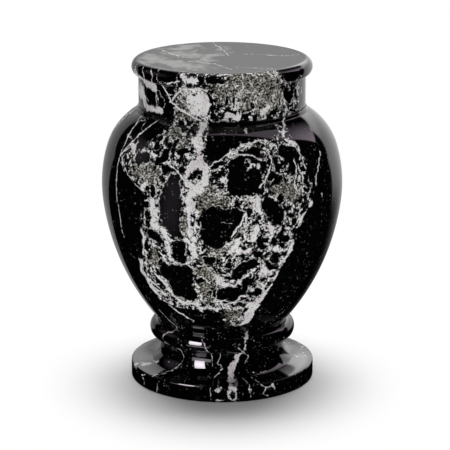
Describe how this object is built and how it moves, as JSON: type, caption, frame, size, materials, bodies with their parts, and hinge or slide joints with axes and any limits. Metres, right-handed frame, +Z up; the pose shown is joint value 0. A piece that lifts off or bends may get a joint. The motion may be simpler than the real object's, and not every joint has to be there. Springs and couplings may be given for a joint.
{
  "type": "cremation urn",
  "caption": "Hollow turned marble urn: a swelling body on a bead, a cove and a round foot, closed by a flat-topped lid that lifts off.",
  "frame": {"origin": "middle of the underside of the foot, on the surface the urn stands on", "axes": "+Z up along the urn's axis, -Y towards the side with the large pale patch of breccia"},
  "size_m": [0.1999, 0.2, 0.2725],
  "materials": {
    "marble": "polished black marble with white veins and patches and fine grey breccia"
  },
  "bodies": {
    "root": {"body": "marble", "lid": "marble"}
  },
  "joints": []
}
